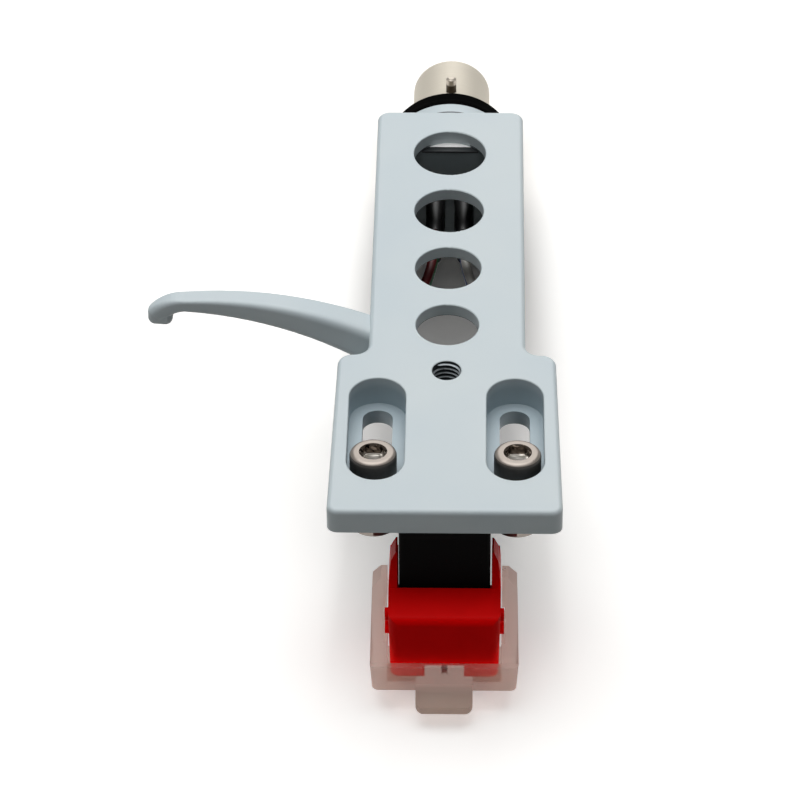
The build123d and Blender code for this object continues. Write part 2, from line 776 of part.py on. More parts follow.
# Stylus guard: a trough with a pull tab that slides over the nose
with BuildPart() as stylus_guard:
    with BuildSketch(Plane.YZ):
        with BuildLine():
            Polyline(
                (guard_front_y, guard_bottom_z),
                (guard_front_y, guard_lip_z),
                (guard_front_y + guard_front_wall, guard_lip_z),
                (guard_rear_y - guard_shoulder_length, guard_top_z),
                (guard_rear_y, guard_top_z),
                (guard_rear_y, guard_lip_z),
                (guard_floor_rear_y, guard_bottom_z),
                close=True,
            )
        make_face()
    extrude(amount=guard_outer_half, both=True)
    with BuildSketch(plane_facing_front(guard_rear_y)):
        with BuildLine():
            Polyline(
                (0, guard_top_z),
                (guard_outer_half - guard_lean - guard_shoulder_cut, guard_top_z),
                (guard_outer_half - guard_lean, guard_top_z - guard_shoulder_cut),
                (guard_outer_half, guard_lip_z),
                (guard_outer_half - guard_lean, guard_bottom_z),
                (0, guard_bottom_z),
            )
            mirror(about=Plane.YZ)
        make_face()
    extrude(amount=guard_rear_y - guard_front_y, mode=Mode.INTERSECT)
    guard_front_edges = stylus_guard.faces().sort_by(Axis.Y)[0].edges().sort_by(Axis.X)
    fillet([guard_front_edges[0], guard_front_edges[-1]], guard_corner_r)
    with BuildSketch(Plane.XY.offset(guard_bottom_z + guard_floor)):
        with BuildLine():
            Polyline(
                (-guard_inner_half, guard_front_y + guard_front_wall),
                (guard_inner_half, guard_front_y + guard_front_wall),
                (guard_inner_half, guard_rear_y + reach_past),
                (-guard_inner_half, guard_rear_y + reach_past),
                close=True,
            )
        make_face()
    extrude(amount=plate_width, mode=Mode.SUBTRACT)
    with BuildSketch(plane_facing_front(guard_rear_y)):
        with Locations((0, bump_middle_z)):
            Rectangle(2 * (guard_inner_half + bump_height), bump_pitch + bump_d + 2 * guard_fit)
    extrude(amount=guard_rear_y - guard_front_y - guard_front_wall, mode=Mode.SUBTRACT)
    with BuildSketch(Plane.XY.offset(guard_bottom_z)):
        with BuildLine():
            Polyline(
                (-guard_floor_slot / 2, guard_front_y + guard_front_wall),
                (guard_floor_slot / 2, guard_front_y + guard_front_wall),
                (guard_floor_slot / 2, guard_rear_y),
                (-guard_floor_slot / 2, guard_rear_y),
                close=True,
            )
        make_face()
    extrude(amount=guard_floor, mode=Mode.SUBTRACT)
    with BuildSketch(Plane.YZ):
        with BuildLine():
            Polyline(
                (guard_front_y + guard_front_wall, guard_bottom_z),
                (guard_front_y + guard_front_wall, guard_bottom_z + tab_thickness),
                (guard_front_y, guard_bottom_z + tab_thickness),
                (guard_front_y - tab_reach, guard_bottom_z + tab_thickness - tab_fall),
                (guard_front_y - tab_reach, guard_bottom_z - tab_fall),
                (guard_front_y, guard_bottom_z),
                close=True,
            )
        make_face()
    extrude(amount=tab_width / 2, both=True)
    fillet(stylus_guard.faces().sort_by(Axis.Y)[0].edges().filter_by(Axis.Z), tab_corner_r)
save(stylus_guard, "stylus_guard")


# Clips and leads between the cartridge pins and the plug's contacts
def clip_on(pin_d, pin_x, pin_z, open_y, back):
    """Slit socket over a pin with a crimp behind it, from open_y towards +Y or -Y."""
    socket_r = pin_d / 2 + clip_fit + clip_wall
    mouth = Plane(origin=(pin_x, open_y, pin_z), x_dir=(1, 0, 0), z_dir=(0, back, 0))
    with BuildPart() as clip:
        with BuildSketch(mouth):
            Circle(socket_r)
        extrude(amount=clip_socket_length)
        with BuildSketch(mouth.offset(clip_socket_length)):
            Circle(clip_crimp_d / 2)
        extrude(amount=clip_crimp_length)
        with BuildSketch(mouth):
            Circle(pin_d / 2 + clip_fit)
        extrude(amount=clip_socket_length - clip_wall, mode=Mode.SUBTRACT)
        with BuildSketch(mouth):
            with Locations((0, -back * socket_r)):
                Rectangle(clip_slit, 2 * socket_r)
        extrude(amount=clip_socket_length - clip_wall, mode=Mode.SUBTRACT)
    return clip


def bend_radii(points):
    """The largest arc that the two runs at each corner leave room for."""
    radii = []
    for before, corner, after in zip(points, points[1:], points[2:]):
        run_in = corner - before
        run_out = after - corner
        half_turn = radians(run_in.get_angle(run_out) / 2)
        radii.append(bend_share * min(run_in.length, run_out.length) / tan(half_turn))
    return radii


clip_length = clip_socket_length + clip_crimp_length
front_clip_y = body_rear_y + clip_gap
rear_clip_y = block_front_y - insulator_flange_thickness - clip_gap
lead_start_y = front_clip_y + clip_length
lead_end_y = rear_clip_y - clip_length
for channel in channels:
    side = side_of(channel)
    row = row_of(channel)
    terminal_x = side * terminal_spacing / 2
    terminal_z = -mount_drop - terminal_upper_drop - row * terminal_row_pitch
    contact_x = side * contact_spacing / 2
    contact_z = contact_spacing / 2 - row * contact_spacing
    front_clip = clip_on(terminal_d, terminal_x, terminal_z, front_clip_y, 1)
    save(front_clip, f"front_clip_{channel}")
    rear_clip = clip_on(contact_d, contact_x, contact_z, rear_clip_y, -1)
    save(rear_clip, f"rear_clip_{channel}")
    lead_start = Vector(terminal_x, lead_start_y, terminal_z)
    lead_end = Vector(contact_x, lead_end_y, contact_z)
    way = lead_end - lead_start
    route = [lead_start]
    for along, across, up in lead_bends[row]:
        route.append(lead_start + Vector(across * way.X, along * way.Y, up * way.Z))
    route.append(lead_end)
    radii = bend_radii(route)
    print(channel, "bend radii", [round(radius, 1) for radius in radii])
    with BuildPart() as lead:
        with BuildLine():
            lead_path = FilletPolyline(*route, radius=radii)
        with BuildSketch(Plane(origin=lead_path @ 0, z_dir=lead_path % 0)):
            Circle(lead_d / 2)
        sweep()
    print(channel, "lead length", round(lead_path.length, 2), "volume", round(lead.part.volume, 3))
    save(lead, f"lead_{channel}")
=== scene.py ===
import json
from math import atan, radians, tau

import bmesh
import bpy
from mathutils import Matrix, Quaternion, Vector


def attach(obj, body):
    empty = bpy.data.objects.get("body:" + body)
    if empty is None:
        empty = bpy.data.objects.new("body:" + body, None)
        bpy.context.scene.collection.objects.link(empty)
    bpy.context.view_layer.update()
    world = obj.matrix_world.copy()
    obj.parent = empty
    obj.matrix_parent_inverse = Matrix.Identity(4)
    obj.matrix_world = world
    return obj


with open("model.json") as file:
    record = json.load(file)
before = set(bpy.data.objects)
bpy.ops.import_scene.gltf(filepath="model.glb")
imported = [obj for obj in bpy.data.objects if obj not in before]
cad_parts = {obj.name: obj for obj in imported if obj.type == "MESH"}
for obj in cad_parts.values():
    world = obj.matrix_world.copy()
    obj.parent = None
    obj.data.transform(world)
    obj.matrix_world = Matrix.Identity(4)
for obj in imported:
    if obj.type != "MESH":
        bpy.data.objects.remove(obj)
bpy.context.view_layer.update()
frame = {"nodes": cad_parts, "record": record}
nodes = frame["nodes"]

MM = 0.001


def linear(hex_color):
    """sRGB hex colour as linear RGBA."""
    channels = [int(hex_color[i:i + 2], 16) / 255 for i in (1, 3, 5)]
    return tuple(c / 12.92 if c <= 0.04045 else ((c + 0.055) / 1.055) ** 2.4 for c in channels) + (1.0,)


def per_mm(size):
    """Texture scale that gives a feature of this size in millimetres on Object coordinates."""
    return 1 / (size * MM)


def add(tree, kind, values=None, **settings):
    """A node with its settings, and its inputs set to a value or linked from another node's output."""
    made = tree.nodes.new(kind)
    for name, setting in settings.items():
        setattr(made, name, setting)
    for name, value in (values or {}).items():
        if isinstance(value, bpy.types.NodeSocket):
            tree.links.new(value, made.inputs[name])
        else:
            made.inputs[name].default_value = value
    return made


def finish(name, color, **sockets):
    """A material of one colour with uniform values on its shader, ready for its patterns."""
    material = bpy.data.materials.new(name)
    material.use_nodes = True
    tree = material.node_tree
    tree.nodes.clear()
    values = {"Base Color": linear(color)}
    values.update({label.replace("_", " "): value for label, value in sockets.items()})
    shader = add(tree, "ShaderNodeBsdfPrincipled", values)
    add(tree, "ShaderNodeOutputMaterial", {"Surface": shader.outputs["BSDF"]})
    place = add(tree, "ShaderNodeTexCoord").outputs["Object"]
    return material, tree, shader, place


# Satin enamel on die-cast aluminium: a pale blue-grey white, even, with a faint orange peel in its sheen.
# Painted shade turns it dark grey in the channel under the arm, in the tapped hole and in the joint line
# between collar and arm. Painted shade also darkens the coat in the two screw pockets.
channel_half = 5.79 * MM
channel_middle_y = -25.42 * MM
channel_reach = 17.1 * MM
channel_roof = 6.0 * MM
top_slope = 0.1051
hole_radius = 1.35 * MM
hole_y = -45.05 * MM
hole_margin = 0.01 * MM
joint_y = -4.2 * MM
joint_half = 0.1 * MM
pocket_x = 6.35 * MM
pocket_half = 2.7 * MM
pocket_middle_y = -53.2 * MM
pocket_reach = 7.1 * MM
pocket_rim = 7.1 * MM
pocket_fade = 1.1 * MM
enamel, tree, shader, place = finish("satin_enamel_on_cast_aluminium", "#C6D1D5")
drift = add(tree, "ShaderNodeTexNoise", {"Vector": place, "Scale": per_mm(14), "Detail": 2})
tint = add(tree, "ShaderNodeValToRGB", {"Fac": drift.outputs["Fac"]})
tint.color_ramp.elements[0].position = 0.35
tint.color_ramp.elements[0].color = linear("#C3CFD4")
tint.color_ramp.elements[1].position = 0.65
tint.color_ramp.elements[1].color = linear("#C9D3D6")
spot = add(tree, "ShaderNodeSeparateXYZ", {"Vector": place})
within_x = add(tree, "ShaderNodeMath", {0: spot.outputs["X"], 1: 0.0, 2: channel_half}, operation="COMPARE")
within_y = add(tree, "ShaderNodeMath", {0: spot.outputs["Y"], 1: channel_middle_y, 2: channel_reach},
               operation="COMPARE")
roof = add(tree, "ShaderNodeMath", {0: spot.outputs["Y"], 1: top_slope, 2: channel_roof},
           operation="MULTIPLY_ADD")
below = add(tree, "ShaderNodeMath", {0: spot.outputs["Z"], 1: roof.outputs["Value"]}, operation="LESS_THAN")
beside = add(tree, "ShaderNodeMath", {0: within_x.outputs["Value"], 1: within_y.outputs["Value"]},
             operation="MULTIPLY")
inside = add(tree, "ShaderNodeMath", {0: beside.outputs["Value"], 1: below.outputs["Value"]},
             operation="MULTIPLY")
level = add(tree, "ShaderNodeCombineXYZ", {"X": spot.outputs["X"], "Y": spot.outputs["Y"]})
off_axis = add(tree, "ShaderNodeVectorMath", {0: level.outputs["Vector"], 1: (0, hole_y, 0)},
               operation="DISTANCE")
tapped = add(tree, "ShaderNodeMath", {0: off_axis.outputs["Value"], 1: hole_radius + hole_margin},
             operation="LESS_THAN")
holes = add(tree, "ShaderNodeMath", {0: inside.outputs["Value"], 1: tapped.outputs["Value"]},
            operation="MAXIMUM")
joint = add(tree, "ShaderNodeMath", {0: spot.outputs["Y"], 1: joint_y, 2: joint_half}, operation="COMPARE")
# Painted shade: dark grey in the channel, the tapped hole and the joint line
painted_shade = add(tree, "ShaderNodeMath", {0: holes.outputs["Value"], 1: joint.outputs["Value"]},
           operation="MAXIMUM")
aside = add(tree, "ShaderNodeMath", {0: spot.outputs["X"]}, operation="ABSOLUTE")
across = add(tree, "ShaderNodeMath", {0: aside.outputs["Value"], 1: pocket_x, 2: pocket_half},
             operation="COMPARE")
along = add(tree, "ShaderNodeMath", {0: spot.outputs["Y"], 1: pocket_middle_y, 2: pocket_reach},
            operation="COMPARE")
rim = add(tree, "ShaderNodeMath", {0: spot.outputs["Y"], 1: top_slope, 2: pocket_rim},
          operation="MULTIPLY_ADD")
down = add(tree, "ShaderNodeMath", {0: rim.outputs["Value"], 1: spot.outputs["Z"]}, operation="SUBTRACT")
sunk = add(tree, "ShaderNodeMapRange", {"Value": down.outputs["Value"], "From Max": pocket_fade},
           interpolation_type="SMOOTHSTEP")
area = add(tree, "ShaderNodeMath", {0: across.outputs["Value"], 1: along.outputs["Value"]},
           operation="MULTIPLY")
pocket = add(tree, "ShaderNodeMath", {0: area.outputs["Value"], 1: sunk.outputs["Result"]},
             operation="MULTIPLY")
# Painted shade: the coat is drawn darker in the two screw pockets
pocket_shade = add(tree, "ShaderNodeMix",
           {0: pocket.outputs["Value"], 6: tint.outputs["Color"], 7: linear("#ABBAC1")}, data_type="RGBA")
coat = add(tree, "ShaderNodeMix", {0: painted_shade.outputs["Value"], 6: pocket_shade.outputs[2], 7: linear("#2B3033")},
           data_type="RGBA")
tree.links.new(coat.outputs[2], shader.inputs["Base Color"])
peel = add(tree, "ShaderNodeTexNoise", {"Vector": place, "Scale": per_mm(0.7), "Detail": 3})
relief = add(tree, "ShaderNodeBump", {"Height": peel.outputs["Fac"], "Strength": 0.12, "Distance": 0.03 * MM})
tree.links.new(relief.outputs["Normal"], shader.inputs["Normal"])
gloss = add(tree, "ShaderNodeMapRange", {"Value": peel.outputs["Fac"], "To Min": 0.38, "To Max": 0.46})
tree.links.new(gloss.outputs["Result"], shader.inputs["Roughness"])

# White enamel on the ledge in the rear window, a painted highlight drawn brighter than the paint outside, up to
# a line where painted shade turns it dark grey
shade_line_y = -8.4 * MM
highlight_enamel, tree, shader, place = finish("painted_highlight_white_enamel", "#FDFDFC", Roughness=0.4)
spot = add(tree, "ShaderNodeSeparateXYZ", {"Vector": place})
painted_shade = add(tree, "ShaderNodeMath", {0: spot.outputs["Y"], 1: shade_line_y}, operation="LESS_THAN")
coat = add(tree, "ShaderNodeMix", {0: painted_shade.outputs["Value"], 6: linear("#FDFDFC"), 7: linear("#1E2224")},
           data_type="RGBA")
tree.links.new(coat.outputs[2], shader.inputs["Base Color"])
peel = add(tree, "ShaderNodeTexNoise", {"Vector": place, "Scale": per_mm(0.7), "Detail": 3})
relief = add(tree, "ShaderNodeBump", {"Height": peel.outputs["Fac"], "Strength": 0.12, "Distance": 0.03 * MM})
tree.links.new(relief.outputs["Normal"], shader.inputs["Normal"])

# Turned brass under satin nickel: warm silver with fine rings round the tube, drawn coarser than real
turned_nickel, tree, shader, place = finish("satin_nickel_on_turned_brass", "#CBC5B9", Metallic=1.0)
along = add(tree, "ShaderNodeSeparateXYZ", {"Vector": place})
rings = add(tree, "ShaderNodeTexNoise", {"W": along.outputs["Y"], "Scale": per_mm(0.25), "Detail": 3},
            noise_dimensions="1D")
gloss = add(tree, "ShaderNodeMapRange", {"Value": rings.outputs["Fac"], "To Min": 0.62, "To Max": 0.74})
tree.links.new(gloss.outputs["Result"], shader.inputs["Roughness"])
relief = add(tree, "ShaderNodeBump",
             {"Height": rings.outputs["Fac"], "Strength": 0.15, "Distance": 0.01 * MM})
tree.links.new(relief.outputs["Normal"], shader.inputs["Normal"])

# Nickel-plated steel of the screws and nuts: a pale top with small wear marks, painted shade on the head's
# sides, and a torn broached socket with painted shade on its walls and a painted highlight on its floor
screw_x = 6.55 * MM
screw_y = -57.05 * MM
socket_radius = 1.29 * MM
head_side_z = 0.55 * MM
head_side_half = 1.01 * MM
socket_floor_z = 0.75 * MM
plated_steel, tree, shader, place = finish("satin_nickel_on_steel", "#948C85", Metallic=1.0)
marks = add(tree, "ShaderNodeTexNoise", {"Vector": place, "Scale": per_mm(0.5), "Detail": 4})
spot = add(tree, "ShaderNodeSeparateXYZ", {"Vector": place})
aside = add(tree, "ShaderNodeMath", {0: spot.outputs["X"]}, operation="ABSOLUTE")
level = add(tree, "ShaderNodeCombineXYZ", {"X": aside.outputs["Value"], "Y": spot.outputs["Y"]})
off_axis = add(tree, "ShaderNodeVectorMath", {0: level.outputs["Vector"], 1: (screw_x, screw_y, 0)},
               operation="DISTANCE")
socket = add(tree, "ShaderNodeMath", {0: off_axis.outputs["Value"], 1: socket_radius}, operation="LESS_THAN")
side = add(tree, "ShaderNodeMath", {0: spot.outputs["Z"], 1: head_side_z, 2: head_side_half},
           operation="COMPARE")
# Painted shade on the sides of the screw heads
outside = add(tree, "ShaderNodeMix", {0: side.outputs["Value"], 6: linear("#948C85"), 7: linear("#575350")},
              data_type="RGBA")
# Painted shade on the socket walls
plate = add(tree, "ShaderNodeMix", {0: socket.outputs["Value"], 6: outside.outputs[2], 7: linear("#574E46")},
            data_type="RGBA")
low = add(tree, "ShaderNodeMath", {0: spot.outputs["Z"], 1: socket_floor_z}, operation="LESS_THAN")
deep = add(tree, "ShaderNodeMath", {0: low.outputs["Value"], 1: socket.outputs["Value"]},
           operation="MULTIPLY")
# Painted highlight on the socket floor
socket_floor_highlight = add(tree, "ShaderNodeMix", {0: deep.outputs["Value"], 6: plate.outputs[2], 7: linear("#F6F3EE")},
            data_type="RGBA")
tree.links.new(socket_floor_highlight.outputs[2], shader.inputs["Base Color"])
dull = add(tree, "ShaderNodeMapRange", {"Value": marks.outputs["Fac"], "To Min": 0.34, "To Max": 0.48})
gloss = add(tree, "ShaderNodeMix", {0: socket.outputs["Value"], 2: dull.outputs["Result"], 3: 0.07})
rough = add(tree, "ShaderNodeMix", {0: deep.outputs["Value"], 2: gloss.outputs[0], 3: 0.4})
tree.links.new(rough.outputs[0], shader.inputs["Roughness"])
tears = add(tree, "ShaderNodeTexNoise", {"Vector": place, "Scale": per_mm(0.8), "Detail": 1})
relief = add(tree, "ShaderNodeBump",
             {"Height": tears.outputs["Fac"], "Strength": socket.outputs["Value"], "Distance": 0.32 * MM})
tree.links.new(relief.outputs["Normal"], shader.inputs["Normal"])

# Polished nickel of the locating pin: bright at its top, with painted shade darkening its foot
pin_foot_z = 4.75 * MM
pin_shade_end_z = 4.95 * MM
bright_nickel, tree, shader, place = finish("polished_nickel", "#B8B0A4", Metallic=1.0)
spot = add(tree, "ShaderNodeSeparateXYZ", {"Vector": place})
foot_shade = add(tree, "ShaderNodeMapRange",
           {"Value": spot.outputs["Z"], "From Min": pin_foot_z, "From Max": pin_shade_end_z})
plate = add(tree, "ShaderNodeMix", {0: foot_shade.outputs["Result"], 6: linear("#453D33"), 7: linear("#B8B0A4")},
            data_type="RGBA")
tree.links.new(plate.outputs[2], shader.inputs["Base Color"])
rub = add(tree, "ShaderNodeTexNoise", {"Vector": place, "Scale": per_mm(0.4), "Detail": 3})
gloss = add(tree, "ShaderNodeMapRange", {"Value": rub.outputs["Fac"], "To Min": 0.34, "To Max": 0.44})
tree.links.new(gloss.outputs["Result"], shader.inputs["Roughness"])

# Moulded rubber washer: matt black with a fine grain
rubber, tree, shader, place = finish("moulded_black_rubber", "#010101", Roughness=0.8,
                                      Specular_IOR_Level=0.02)
grain = add(tree, "ShaderNodeTexNoise", {"Vector": place, "Scale": per_mm(0.2), "Detail": 3})
relief = add(tree, "ShaderNodeBump", {"Height": grain.outputs["Fac"], "Strength": 0.3, "Distance": 0.02 * MM})
tree.links.new(relief.outputs["Normal"], shader.inputs["Normal"])

# Spark-eroded black ABS of the housing: nearly black, with a fine even texture
black_abs, tree, shader, place = finish("textured_black_abs", "#010101", Roughness=0.6,
                                         Specular_IOR_Level=0.04)
grain = add(tree, "ShaderNodeTexNoise", {"Vector": place, "Scale": per_mm(0.16), "Detail": 2})
relief = add(tree, "ShaderNodeBump",
             {"Height": grain.outputs["Fac"], "Strength": 0.3, "Distance": 0.015 * MM})
tree.links.new(relief.outputs["Normal"], shader.inputs["Normal"])

# Grey nylon insulator: waxy, with faint mould marks
nylon, tree, shader, place = finish("grey_nylon", "#767F82")
grain = add(tree, "ShaderNodeTexNoise", {"Vector": place, "Scale": per_mm(0.4), "Detail": 3})
gloss = add(tree, "ShaderNodeMapRange", {"Value": grain.outputs["Fac"], "To Min": 0.4, "To Max": 0.56})
tree.links.new(gloss.outputs["Result"], shader.inputs["Roughness"])

# Glossy moulded red ABS: deep red, smooth, with a slight unevenness in its reflections
red_abs, tree, shader, place = finish("gloss_red_abs", "#F40102", Roughness=0.42, Specular_IOR_Level=0.04)
flow = add(tree, "ShaderNodeTexNoise", {"Vector": place, "Scale": per_mm(2.5), "Detail": 3})
tint = add(tree, "ShaderNodeValToRGB", {"Fac": flow.outputs["Fac"]})
tint.color_ramp.elements[0].position = 0.3
tint.color_ramp.elements[0].color = linear("#F00102")
tint.color_ramp.elements[1].position = 0.7
tint.color_ramp.elements[1].color = linear("#F80203")
tree.links.new(tint.outputs["Color"], shader.inputs["Base Color"])
relief = add(tree, "ShaderNodeBump", {"Height": flow.outputs["Fac"], "Strength": 0.1, "Distance": 0.02 * MM})
tree.links.new(relief.outputs["Normal"], shader.inputs["Normal"])

# Milky moulded polypropylene guard: a thin hazy wall that blurs the red behind it, with painted shade that
# greys the pull tab that juts out in front. Its IOR is below the real one, so that the wall looks as flat as in
# the photo.
tab_root_y = -67.6 * MM
tab_blend = 0.3 * MM
milky_plastic, tree, shader, place = finish("milky_polypropylene", "#DBC2B9", IOR=1.08,
                                            Transmission_Weight=0.86, Subsurface_Weight=1.0,
                                            Subsurface_Radius=(1.0, 0.85, 0.8), Subsurface_Scale=7.0 * MM)
spot = add(tree, "ShaderNodeSeparateXYZ", {"Vector": place})
jutting = add(tree, "ShaderNodeMapRange", {"Value": spot.outputs["Y"], "From Min": tab_root_y + tab_blend,
                                           "From Max": tab_root_y - tab_blend})
# Painted shade: the pull tab is drawn greyer
depth = add(tree, "ShaderNodeMix", {0: jutting.outputs["Result"], 6: linear("#DEC8BF"), 7: linear("#B0A096")},
            data_type="RGBA")
tree.links.new(depth.outputs[2], shader.inputs["Base Color"])
cloud = add(tree, "ShaderNodeTexNoise", {"Vector": place, "Scale": per_mm(3), "Detail": 3})
gloss = add(tree, "ShaderNodeMapRange", {"Value": cloud.outputs["Fac"], "To Min": 0.24, "To Max": 0.36})
tree.links.new(gloss.outputs["Result"], shader.inputs["Roughness"])

# Gold flash on the contact pins, rubbed by the clips
gold, tree, shader, place = finish("gold_flash_on_brass", "#D9AE5A", Metallic=1.0)
rub = add(tree, "ShaderNodeTexNoise", {"Vector": place, "Scale": per_mm(0.4), "Detail": 3})
gloss = add(tree, "ShaderNodeMapRange", {"Value": rub.outputs["Fac"], "To Min": 0.2, "To Max": 0.36})
tree.links.new(gloss.outputs["Result"], shader.inputs["Roughness"])

# Tinned bronze of the clips: grey silver, uneven gloss
tin, tree, shader, place = finish("tinned_bronze", "#BDBBB6", Metallic=1.0)
rub = add(tree, "ShaderNodeTexNoise", {"Vector": place, "Scale": per_mm(0.35), "Detail": 3})
gloss = add(tree, "ShaderNodeMapRange", {"Value": rub.outputs["Fac"], "To Min": 0.2, "To Max": 0.42})
tree.links.new(gloss.outputs["Result"], shader.inputs["Roughness"])

# Soft PVC on the leads, one colour each, with the faint ripple of the strands under it
lead_colors = {
    "lead_left_hot": "#BDBCB6",
    "lead_left_ground": "#17356F",
    "lead_right_hot": "#6A1012",
    "lead_right_ground": "#1C5A34",
}
pvc = {}
for lead_name, lead_color in lead_colors.items():
    pvc[lead_name], tree, shader, place = finish("soft_pvc_" + lead_name, lead_color, Roughness=0.45)
    ripple = add(tree, "ShaderNodeTexNoise", {"Vector": place, "Scale": per_mm(0.5), "Detail": 2})
    relief = add(tree, "ShaderNodeBump",
                 {"Height": ripple.outputs["Fac"], "Strength": 0.15, "Distance": 0.02 * MM})
    tree.links.new(relief.outputs["Normal"], shader.inputs["Normal"])

# Enamelled copper winding: orange brown, its turns drawn coarser than the real wire
winding, tree, shader, place = finish("enamelled_copper_wire", "#9A4E22", Metallic=1.0, Roughness=0.35)
turns = add(tree, "ShaderNodeTexWave", {"Vector": place, "Scale": per_mm(2.4)}, bands_direction="Y")
relief = add(tree, "ShaderNodeBump", {"Height": turns.outputs["Fac"], "Strength": 0.6, "Distance": 0.04 * MM})
tree.links.new(relief.outputs["Normal"], shader.inputs["Normal"])

# Plain soft iron and ground magnet: mid grey metal with a brushed gloss
iron, tree, shader, place = finish("soft_iron", "#8C8C8C", Metallic=1.0)
brush = add(tree, "ShaderNodeTexNoise", {"Vector": place, "Scale": per_mm(0.6), "Detail": 3})
gloss = add(tree, "ShaderNodeMapRange", {"Value": brush.outputs["Fac"], "To Min": 0.3, "To Max": 0.5})
tree.links.new(gloss.outputs["Result"], shader.inputs["Roughness"])

# Drawn aluminium cantilever: pale, with a soft gloss
drawn_aluminium, tree, shader, place = finish("drawn_aluminium", "#C9CACC", Metallic=1.0)
draw = add(tree, "ShaderNodeTexNoise", {"Vector": place, "Scale": per_mm(0.3), "Detail": 2})
gloss = add(tree, "ShaderNodeMapRange", {"Value": draw.outputs["Fac"], "To Min": 0.25, "To Max": 0.4})
tree.links.new(gloss.outputs["Result"], shader.inputs["Roughness"])

# Ground diamond: clear and grey, very smooth
diamond, tree, shader, place = finish("ground_diamond", "#D8D4CC", Roughness=0.05, IOR=2.417,
                                      Transmission_Weight=0.9)

# Freshly cut aluminium of the screw thread: bare grey metal with the tap's scratches
cut_aluminium, tree, shader, place = finish("cut_aluminium", "#8A9094", Metallic=1.0)
cuts = add(tree, "ShaderNodeTexNoise", {"Vector": place, "Scale": per_mm(0.2), "Detail": 3})
gloss = add(tree, "ShaderNodeMapRange", {"Value": cuts.outputs["Fac"], "To Min": 0.4, "To Max": 0.55})
tree.links.new(gloss.outputs["Result"], shader.inputs["Roughness"])

# Heat-shrink sleeve on the clips: black, waxy, slightly wrinkled
shrink_sleeve, tree, shader, place = finish("black_heat_shrink", "#0A0A0B", Roughness=0.4)
wrinkle = add(tree, "ShaderNodeTexNoise", {"Vector": place, "Scale": per_mm(0.8), "Detail": 2})
relief = add(tree, "ShaderNodeBump",
             {"Height": wrinkle.outputs["Fac"], "Strength": 0.3, "Distance": 0.04 * MM})
tree.links.new(relief.outputs["Normal"], shader.inputs["Normal"])

looks = {
    "shell_paint": enamel,
    "nickel": turned_nickel,
    "rubber": rubber,
    "insulator": nylon,
    "housing": black_abs,
    "pole_metal": iron,
    "copper": winding,
    "red_plastic": red_abs,
    "cantilever_metal": drawn_aluminium,
    "diamond": diamond,
    "guard_plastic": milky_plastic,
    "contact_gold": gold,
    "clip_metal": tin,
    **pvc,
}
own_looks = {
    "mounting_screws": plated_steel,
    "mounting_nuts": plated_steel,
    "tube_set_screw": plated_steel,
    "locating_pin": bright_nickel,
}
for subpart in frame["record"]["subparts"]:
    look = own_looks.get(subpart["node"], looks[subpart["material_slot"]])
    node_mesh = nodes[subpart["node"]].data
    node_mesh.materials.clear()
    node_mesh.materials.append(look)

sharp_angle = radians(35)


def piece(name, bm, material, body="headshell"):
    """A finished mesh as a piece of the object, on its body."""
    mesh = bpy.data.meshes.new(name)
    bm.to_mesh(mesh)
    bm.free()
    mesh.shade_smooth()
    mesh.set_sharp_from_angle(angle=sharp_angle)
    mesh.materials.append(material)
    made = bpy.data.objects.new(name, mesh)
    bpy.context.scene.collection.objects.link(made)
    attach(made, body)
    return made


def turned(outline, x, z, steps=40):
    """A ring: a closed outline of radius and Y pairs in millimetres, spun round the line along Y at x, z."""
    bm = bmesh.new()
    corners = [bm.verts.new(((x + radius) * MM, y * MM, z * MM)) for radius, y in outline]
    sides = [bm.edges.new((corners[i - 1], corners[i])) for i in range(len(corners))]
    bmesh.ops.spin(bm, geom=corners + sides, cent=(x * MM, 0, z * MM), axis=(0, 1, 0), angle=tau, steps=steps,
                   use_merge=True)
    bmesh.ops.remove_doubles(bm, verts=bm.verts, dist=0.0001 * MM)
    bmesh.ops.recalc_face_normals(bm, faces=bm.faces)
    return bm


# Black sleeves shrunk over the sockets of the rear clips
contact_half = 1.45
sleeve_outline = [
    (0.82, -9.6), (0.93, -9.6), (1.0, -9.75), (1.0, -13.8), (0.86, -14.4), (0.86, -16.0), (0.66, -16.9),
    (0.66, -19.3), (0.6, -19.4), (0.51, -19.4), (0.51, -16.8), (0.68, -16.15), (0.68, -14.05), (0.82, -13.95),
]
for channel_name, side in (("left", 1), ("right", -1)):
    for wire, row in (("hot", 1), ("ground", -1)):
        ring = turned(sleeve_outline, side * contact_half, row * contact_half)
        piece(f"clip_sleeve_{channel_name}_{wire}", ring, shrink_sleeve)

# Soft lip of the rubber washer that laps over the edge of the collar
lip_outline = [(6.2, -1.9), (6.63, -1.65), (6.66, -1.8), (6.66, -2.5), (6.62, -2.58), (6.5, -2.58)]
piece("washer_lip", turned(lip_outline, 0, 0, steps=96), rubber)

# Screw thread in the small hole: a ridge wound up its wall that runs out just under the rear of the rim
thread_pitch = 0.45 * MM
thread_base = 0.2 * MM
thread_depth = 0.15 * MM
thread_root = 0.05 * MM
thread_steps = 36
thread_turns = 8.61
thread_low = -1.66 * MM
bm = bmesh.new()
crest = [
    bm.verts.new((0, hole_y - hole_radius - thread_root, thread_low)),
    bm.verts.new((0, hole_y - hole_radius + thread_depth, thread_low + thread_base / 2)),
    bm.verts.new((0, hole_y - hole_radius - thread_root, thread_low + thread_base)),
]
profile = [bm.edges.new((crest[i], crest[(i + 1) % 3])) for i in range(3)]
steps = round(thread_turns * thread_steps)
swept = bmesh.ops.spin(
    bm, geom=crest + profile, cent=(0, hole_y, 0), axis=(0, 0, 1), angle=thread_turns * tau,
    steps=steps, dvec=(0, 0, thread_pitch * thread_turns / steps), use_merge=False,
)
runout = [g for g in swept["geom_last"] if isinstance(g, bmesh.types.BMVert)]
